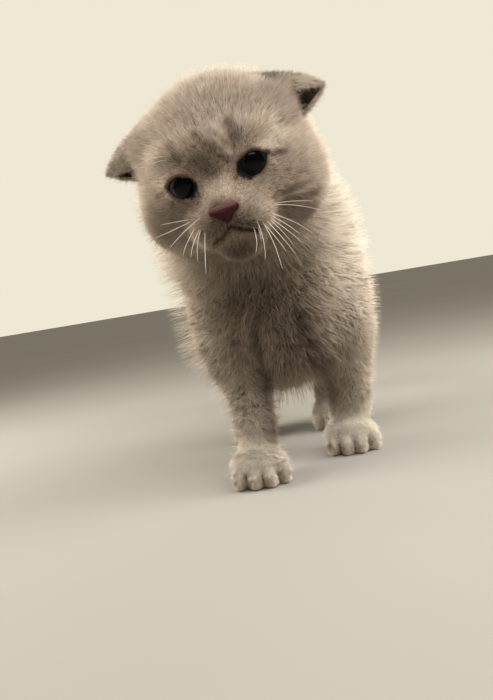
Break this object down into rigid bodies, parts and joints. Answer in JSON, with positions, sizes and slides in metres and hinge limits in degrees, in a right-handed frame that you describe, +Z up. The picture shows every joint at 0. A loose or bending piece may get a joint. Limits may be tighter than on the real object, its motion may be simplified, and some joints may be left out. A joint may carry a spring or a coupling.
{
  "type": "scottish fold kitten",
  "caption": "Life-size still model of a Scottish Fold kitten standing with its head tilted, in a short plush lilac-fawn coat.",
  "frame": {"origin": "on the floor, under the middle of the model's bounding box", "axes": "+Z up, the kitten faces -Y, its left side is +X"},
  "size_m": [0.0924, 0.2464, 0.1406],
  "materials": {
    "fur": "short dense plush coat, lilac-fawn with faint tabby marks, matt",
    "eye": "wet and glossy, near-black pupil in a dark slate-blue ring",
    "nose_leather": "fine-grained, slightly moist, dusky pink-brown"
  },
  "bodies": {
    "root": {"head": "fur", "ear_left": "fur", "ear_right": "fur", "eye_left": "eye", "eye_right": "eye", "nose": "nose_leather", "neck": "fur", "torso": "fur", "foreleg_left": "fur", "forepaw_left": "fur", "foreleg_right": "fur", "forepaw_right": "fur", "hindleg_left": "fur", "hindpaw_left": "fur", "hindleg_right": "fur", "hindpaw_right": "fur", "tail": "fur"}
  },
  "joints": []
}
